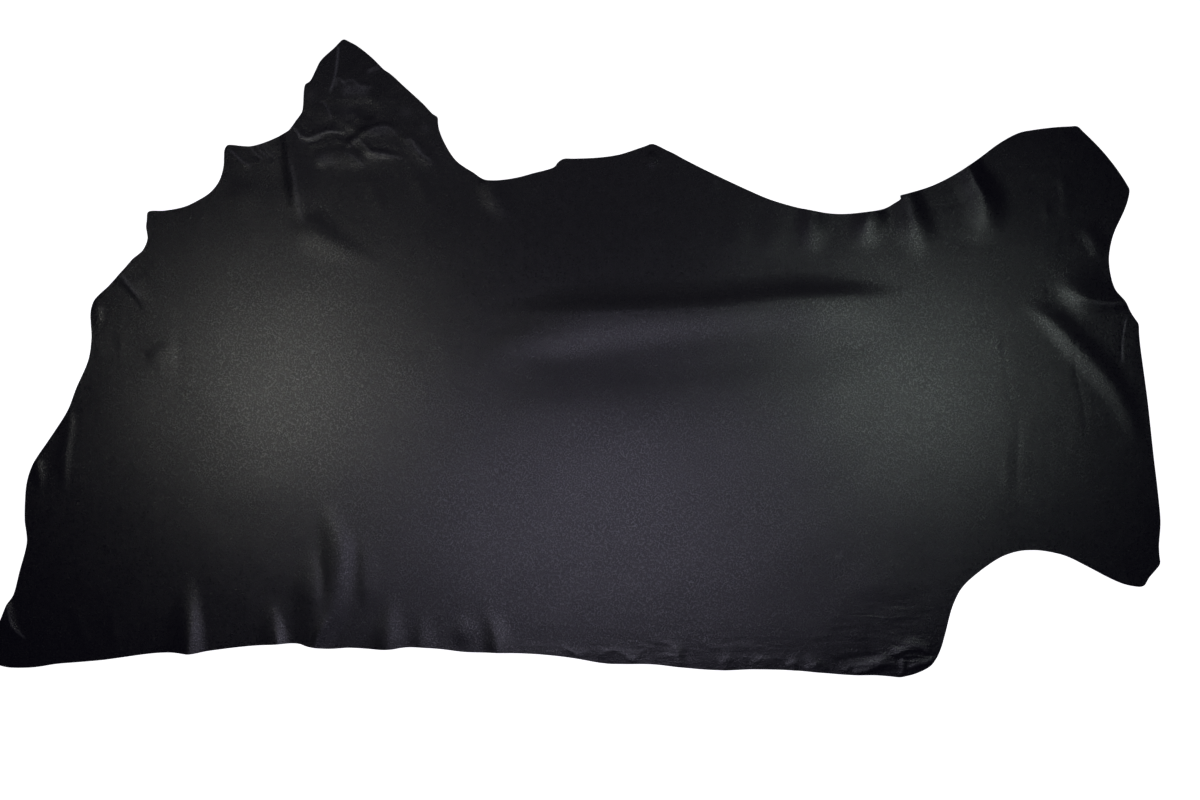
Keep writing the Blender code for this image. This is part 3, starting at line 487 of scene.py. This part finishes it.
def inside(points, edge):
    """Which points lie within the closed edge."""
    within = np.zeros(len(points), bool)
    for (x0, y0), (x1, y1) in zip(edge, np.roll(edge, -1, axis=0)):
        if y0 == y1:
            continue
        crosses = (y0 > points[:, 1]) != (y1 > points[:, 1])
        within ^= crosses & (points[:, 0] < x0 + (points[:, 1] - y0) * (x1 - x0) / (y1 - y0))
    return within


def clear_of_edge(points, edge):
    """Which points are not too close to the closed edge for well-shaped triangles."""
    kept = np.ones(len(points), bool)
    for point in edge:
        close = np.abs(points - point).max(1) < EDGE_CLEARANCE_MM
        kept &= ~close
    return kept


def relief(points):
    """How far the folds and creases lift the leather, in mm. Crossing folds run into each other."""
    total = np.zeros(len(points))
    for _, height, left, right, roundness, start, fade_in, fade_out, crest in FOLDS:
        rows = near(points, crest, max(left, right))
        if rows.any():
            share = fold_share(points[rows], left, right, roundness, start, fade_in, fade_out, crest)
            total[rows] += (height * share) ** 2
    return np.sqrt(total) + strokes(points, CREASES)


def patches(points, table):
    """How strongly the patches of a table cover each point."""
    total = np.zeros(len(points))
    for _, strength, middle, reach in table:
        away = np.linalg.norm((points - middle) / reach, axis=1)
        total += strength * (1 + np.cos(math.pi * np.minimum(1, away))) / 2
    return total


def steps_wanted(points):
    """The lattice's step that each point's surroundings need, in finest steps."""
    wanted = np.full(len(points), FLAT_STEPS)
    lines = [(min(left, right), max(left, right), crest) for _, _, left, right, _, _, _, _, crest in FOLDS]
    lines += [(width, width, crest) for _, _, width, _, crest in CREASES + RUBBED_AND_HIGHLIT]
    for narrow, wide, crest in lines:
        rows = np.flatnonzero(near(points, crest, wide))
        distance = np.abs(along_crest(points[rows], crest)[0])
        finest = min(FINE_REACH_MM, FINE_SHARE * narrow + FINE_MARGIN_MM) if narrow < BROAD_MM else 0
        for reach, steps in ((min(wide, BROAD_MM), FOLD_STEPS), (finest, 1)):
            close = rows[distance < reach]
            wanted[close] = np.minimum(wanted[close], steps)
    return np.where(patches(points, PUCKERED) > PUCKERED_FROM, np.minimum(wanted, FOLD_STEPS), wanted)


def lattice(edge):
    """The mesh's points inside the closed edge: every step of the lattice, or every 2nd or 4th."""
    low, high = edge.min(0), edge.max(0)
    row_gap = FINEST_MM * math.sqrt(3) / 2
    rows, columns = math.ceil((high[1] - low[1]) / row_gap), math.ceil((high[0] - low[0]) / FINEST_MM) + 1
    row, column = np.meshgrid(np.arange(rows), np.arange(-rows // 2, columns), indexing="ij")
    row, column = row.ravel(), column.ravel()
    points = np.stack([low[0] + (column + row / 2) * FINEST_MM, low[1] + row * row_gap], axis=1)
    boxed = (points[:, 0] > low[0]) & (points[:, 0] < high[0])
    points, row, column = points[boxed], row[boxed], column[boxed]
    every = steps_wanted(points)
    kept = (row % every == 0) & (column % every == 0)
    points = points[kept]
    points = points[inside(points, edge)]
    return points[clear_of_edge(points, edge)]


def row_frame(points_mm, heights_mm):
    """Points of the tables as points in metres in the row frame."""
    return np.column_stack([points_mm * MM + LOW[:2], heights_mm * MM])


def unevenness(points):
    """The slight waviness of leather that lies relaxed, and the lumps where it is puckered, in mm."""
    wave = np.array([
        noise.noise(Vector((x / WAVE_LENGTH_MM, y / WAVE_LENGTH_MM, 3.1)))
        + RIPPLE_SHARE * noise.noise(Vector((x / RIPPLE_LENGTH_MM, y / RIPPLE_LENGTH_MM, 8.7)))
        for x, y in points
    ])
    height = WAVE_MM * (wave + WAVE_FLOOR)
    puckers = patches(points, PUCKERED)
    for i in np.flatnonzero(puckers):
        x, y = points[i]
        lump = noise.noise(Vector((x / LUMP_LENGTHS_MM[0], y / LUMP_LENGTHS_MM[1], 5.3)))
        pinch = 1 - 2 * abs(noise.noise(Vector((x / PINCH_LENGTHS_MM[0], y / PINCH_LENGTHS_MM[1], 1.9))))
        height[i] += puckers[i] * (LUMP_SHARE * lump + PINCH_SHARE * pinch + PUCKER_LIFT)
    return height


def build_sheet():
    """The sheet: the folded grain side, thickened downwards, with the flesh side and the cut edge."""
    edge = smooth_curve(solid_outline(), EDGE_STEP_MM, closed=True)
    flat = np.vstack([edge, lattice(edge)])
    ring = [(i, (i + 1) % len(edge)) for i in range(len(edge))]
    corners, _, faces, *_ = delaunay_2d_cdt([Vector(point) for point in flat], ring, [], 0, 1e-6, False)
    corners, faces = np.array([tuple(corner) for corner in corners]), np.array(faces)
    faces = faces[inside(corners[faces].mean(axis=1), edge)]
    heights = REST_MM + THICKNESS_MM + relief(corners) + unevenness(corners)
    mesh = bpy.data.meshes.new("hide_leather")
    mesh.from_pydata(row_frame(corners, heights).tolist(), [], faces.tolist())
    # The first mark makes the base colour paler where the finish is rubbed and where highlights along
    # crests and lines are painted in.
    marks = {
        "rubbed_and_highlit": np.clip(strokes(corners, RUBBED_AND_HIGHLIT), 0, 1),
        "crumpled": patches(corners, CRUMPLED),
        "stretched": patches(corners, STRETCHED),
    }
    for name, values in marks.items():
        mesh.attributes.new(name, "FLOAT", "POINT").data.foreach_set("value", values)
    for finish in (grain_side(), flesh_side(), cut_edge()):
        mesh.materials.append(finish)
    piece = bpy.data.objects.new("hide_leather", mesh)
    bpy.context.scene.collection.objects.link(piece)
    shell = piece.modifiers.new("thickness", "SOLIDIFY")
    shell.thickness = THICKNESS_MM * MM
    shell.offset = -1.0
    shell.material_offset = 1
    shell.material_offset_rim = 2
    bpy.context.view_layer.update()
    piece.data = bpy.data.meshes.new_from_object(piece.evaluated_get(bpy.context.evaluated_depsgraph_get()))
    piece.modifiers.clear()
    piece.data.shade_smooth()
    piece.data.set_sharp_from_angle(angle=math.radians(60))
    return piece


class Nodes:
    """A material's node tree, with one short call to add a node and link its inputs."""

    def __init__(self, tree):
        self.tree = tree
        self.tree.nodes.clear()

    def add(self, kind, settings=None, **inputs):
        node = self.tree.nodes.new(kind)
        for name, value in (settings or {}).items():
            setattr(node, name, value)
        for name, value in inputs.items():
            key = int(name[1:]) if name[1:].isdigit() else name.replace("_", " ")
            socket = node.inputs[key]
            if isinstance(value, bpy.types.NodeSocket):
                self.tree.links.new(value, socket)
            else:
                socket.default_value = value
        return node


def grain_side():
    """Black, half glossy, pebbled and finely wrinkled, and paler where it is rubbed and where highlights
    are painted along crests and lines.
    """
    material = bpy.data.materials.new("leather_grain_side")
    material.use_nodes = True
    nodes = Nodes(material.node_tree)
    where = nodes.add("ShaderNodeTexCoord").outputs["Object"]
    pebble = nodes.add("ShaderNodeTexVoronoi", {"feature": "F1"}, Vector=where, Scale=300.0)
    tooth = nodes.add("ShaderNodeTexNoise", Vector=where, Scale=380.0, Detail=2.0, Roughness=0.6)
    mottle = nodes.add("ShaderNodeTexNoise", Vector=where, Scale=280.0, Detail=2.0, Roughness=0.7)
    bent = nodes.add("ShaderNodeTexNoise", Vector=where, Scale=24.0, Detail=0.0)
    bending = nodes.add("ShaderNodeVectorMath", {"operation": "SCALE"}, _0=bent.outputs["Color"],
                        Scale=0.03)
    crossing = nodes.add("ShaderNodeVectorMath", {"operation": "ADD"}, _0=where,
                         _1=bending.outputs["Vector"])
    hairline = nodes.add("ShaderNodeTexVoronoi", {"feature": "DISTANCE_TO_EDGE"},
                         Vector=crossing.outputs["Vector"], Scale=70.0)
    groove = nodes.add("ShaderNodeMapRange", Value=hairline.outputs["Distance"], From_Min=0.0,
                       From_Max=0.12, To_Min=0.0, To_Max=1.0)
    bump = nodes.add("ShaderNodeBump", Strength=1.0, Distance=0.00012, Height=pebble.outputs["Distance"])
    bump = nodes.add("ShaderNodeBump", Strength=1.0, Distance=0.00004, Height=groove.outputs["Result"],
                     Normal=bump.outputs["Normal"])
    bump = nodes.add("ShaderNodeBump", Strength=1.0, Distance=0.0004, Height=tooth.outputs["Fac"],
                     Normal=bump.outputs["Normal"])
    for mark, scale in (("crumpled", (20.0, 84.0, 1.0)), ("stretched", (62.0, 11.0, 1.0))):
        patch = nodes.add("ShaderNodeAttribute", {"attribute_name": mark}).outputs["Fac"]
        turned = nodes.add("ShaderNodeMapping", Vector=where, Scale=scale)
        wrinkle = nodes.add("ShaderNodeTexNoise", {"noise_type": "FBM"}, Vector=turned.outputs["Vector"],
                            Scale=1.0, Detail=2.0, Roughness=0.55, Distortion=0.6)
        height = nodes.add("ShaderNodeMath", {"operation": "MULTIPLY"}, _0=wrinkle.outputs["Fac"], _1=patch)
        bump = nodes.add("ShaderNodeBump", Strength=1.0, Distance=0.0016, Height=height.outputs["Value"],
                         Normal=bump.outputs["Normal"])
    gloss = nodes.add("ShaderNodeMapRange", Value=mottle.outputs["Fac"], From_Min=0.42, From_Max=0.58,
                      To_Min=0.262, To_Max=0.340)
    # Painted highlights: the base colour turns paler along crests and lines, as well as on rubbed places,
    # broken up by the mottle.
    rubbed_and_highlit = nodes.add("ShaderNodeAttribute", {"attribute_name": "rubbed_and_highlit"}).outputs["Fac"]
    broken = nodes.add("ShaderNodeMapRange", Value=mottle.outputs["Fac"], From_Min=0.4, From_Max=0.6,
                       To_Min=0.55, To_Max=1.0)
    rub_and_highlight_share = nodes.add("ShaderNodeMath", {"operation": "MULTIPLY"}, _0=rubbed_and_highlit, _1=broken.outputs["Result"])
    # The second colour is the pale tone of the painted highlights and the rubbed places.
    colour = nodes.add("ShaderNodeMix", {"data_type": "RGBA"}, _0=rub_and_highlight_share.outputs["Value"],
                       _6=(0.0016, 0.0015, 0.0022, 1.0), _7=(0.1, 0.098, 0.105, 1.0))
    shader = nodes.add("ShaderNodeBsdfPrincipled", Base_Color=colour.outputs[2],
                       Roughness=gloss.outputs["Result"], Normal=bump.outputs["Normal"])
    nodes.add("ShaderNodeOutputMaterial", Surface=shader.outputs["BSDF"])
    return material


def flesh_side():
    """Grey-black suede."""
    material = bpy.data.materials.new("leather_flesh_side")
    material.use_nodes = True
    nodes = Nodes(material.node_tree)
    where = nodes.add("ShaderNodeTexCoord").outputs["Object"]
    nap = nodes.add("ShaderNodeTexNoise", Vector=where, Scale=900.0, Detail=4.0, Roughness=0.7)
    tone = nodes.add("ShaderNodeTexNoise", Vector=where, Scale=14.0, Detail=5.0, Roughness=0.6)
    colour = nodes.add("ShaderNodeMix", {"data_type": "RGBA"}, _0=tone.outputs["Fac"],
                       _6=(0.018, 0.017, 0.018, 1.0), _7=(0.042, 0.04, 0.041, 1.0))
    bump = nodes.add("ShaderNodeBump", Strength=1.0, Distance=0.0004, Height=nap.outputs["Fac"])
    shader = nodes.add("ShaderNodeBsdfPrincipled", Base_Color=colour.outputs[2], Roughness=0.95,
                       Normal=bump.outputs["Normal"], Sheen_Weight=0.35, Sheen_Roughness=0.5)
    nodes.add("ShaderNodeOutputMaterial", Surface=shader.outputs["BSDF"])
    return material


def cut_edge():
    """Bare fibres, dyed nearly through."""
    material = bpy.data.materials.new("leather_cut_edge")
    material.use_nodes = True
    nodes = Nodes(material.node_tree)
    where = nodes.add("ShaderNodeTexCoord").outputs["Object"]
    fibre = nodes.add("ShaderNodeTexNoise", Vector=where, Scale=1500.0, Detail=3.0, Roughness=0.7)
    bump = nodes.add("ShaderNodeBump", Strength=1.0, Distance=0.0002, Height=fibre.outputs["Fac"])
    colour = nodes.add("ShaderNodeMix", {"data_type": "RGBA"}, _0=fibre.outputs["Fac"],
                       _6=(0.006, 0.006, 0.007, 1.0), _7=(0.03, 0.029, 0.03, 1.0))
    shader = nodes.add("ShaderNodeBsdfPrincipled", Base_Color=colour.outputs[2], Roughness=0.85,
                       Normal=bump.outputs["Normal"])
    nodes.add("ShaderNodeOutputMaterial", Surface=shader.outputs["BSDF"])
    return material


def camera():
    """A camera straight above the middle of the view."""
    height = VIEW_WIDTH_M * LENS_MM / SENSOR_MM
    data = bpy.data.cameras.new("camera")
    data.lens, data.sensor_width = LENS_MM, SENSOR_MM
    eye = bpy.data.objects.new("camera", data)
    bpy.context.scene.collection.objects.link(eye)
    centre = row_frame(np.array([VIEW_CENTRE_MM]), np.zeros(1))[0]
    eye.location = (centre[0], centre[1], height)
    bpy.context.scene.camera = eye
    return eye


# The softboxes. Each is placed so that the flat hide mirrors its middle to the camera at the glow's point.
SOFTBOXES = [
    # name, glow (x, y) in mm, height in m, width, depth in m, power in W, colour
    ("left_softbox", (606, 591), 1.7, 0.28, 0.18, 3.5, (0.99, 1.0, 0.91)),
    ("right_softbox", (1826, 585), 1.7, 0.30, 0.26, 3.15, (0.885, 1.0, 0.93)),
    ("back_softbox", (1222, 318), 2.4, 1.42, 0.24, 8.5, (0.82, 0.78, 1.0)),
    ("belly_softbox", (1200, 1130), 3.5, 4.0, 0.5, 3.0, (0.95, 0.93, 1.0)),
]


def softboxes(eye):
    """Each box lies on the line from the camera's mirror image through its glow."""
    foot = np.array([eye.location.x, eye.location.y])
    for name, glow, height, width, depth, power, colour in SOFTBOXES:
        data = bpy.data.lights.new(name, "AREA")
        data.shape = "RECTANGLE"
        data.size, data.size_y = width, depth
        data.energy, data.color = power, colour
        box = bpy.data.objects.new(name, data)
        bpy.context.scene.collection.objects.link(box)
        target = row_frame(np.array([glow], float), np.zeros(1))[0]
        place = foot + (target[:2] - foot) * (eye.location.z + height) / eye.location.z
        box.location = (place[0], place[1], height)
        box.rotation_mode = "QUATERNION"
        box.rotation_quaternion = (box.location - Vector(target)).to_track_quat("Z", "Y")
        box.visible_camera = False


def table_top():
    """A wide white table with a glow of its own, as bright as a lit background."""
    mesh = bpy.data.meshes.new("table")
    turns = np.arange(TABLE_SIDES) * 2 * math.pi / TABLE_SIDES
    rim = [(TABLE_RADIUS_M * math.cos(a), TABLE_RADIUS_M * math.sin(a), -TABLE_DROP_M) for a in turns]
    mesh.from_pydata(rim, [], [list(range(TABLE_SIDES))])
    top = bpy.data.objects.new("table", mesh)
    bpy.context.scene.collection.objects.link(top)
    material = bpy.data.materials.new("table_white")
    material.use_nodes = True
    shader = material.node_tree.nodes["Principled BSDF"]
    shader.inputs["Base Color"].default_value = (TABLE_TONE, TABLE_TONE, TABLE_TONE, 1.0)
    shader.inputs["Roughness"].default_value = 0.9
    shader.inputs["Emission Color"].default_value = (1.0, 1.0, 1.0, 1.0)
    shader.inputs["Emission Strength"].default_value = TABLE_GLOW
    mesh.materials.append(material)


def studio():
    """A sky that is bright along the horizon and dim overhead."""
    world = bpy.data.worlds.new("studio")
    bpy.context.scene.world = world
    world.use_nodes = True
    nodes = Nodes(world.node_tree)
    direction = nodes.add("ShaderNodeTexCoord").outputs["Generated"]
    split = nodes.add("ShaderNodeSeparateXYZ", Vector=direction)
    ramp = nodes.add("ShaderNodeValToRGB", _0=split.outputs["Z"])
    horizon, overhead = ramp.color_ramp.elements
    horizon.position, horizon.color = HORIZON_ENDS, HORIZON_COLOUR
    overhead.position, overhead.color = SKY_STARTS, SKY_COLOUR
    background = nodes.add("ShaderNodeBackground", Color=ramp.outputs["Color"], Strength=1.0)
    nodes.add("ShaderNodeOutputWorld", Surface=background.outputs["Background"])
    bpy.context.scene.view_settings.view_transform = "Standard"


sheet = build_sheet()
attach(sheet, "root")
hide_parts("hide")
eye = camera()
softboxes(eye)
table_top()
studio()
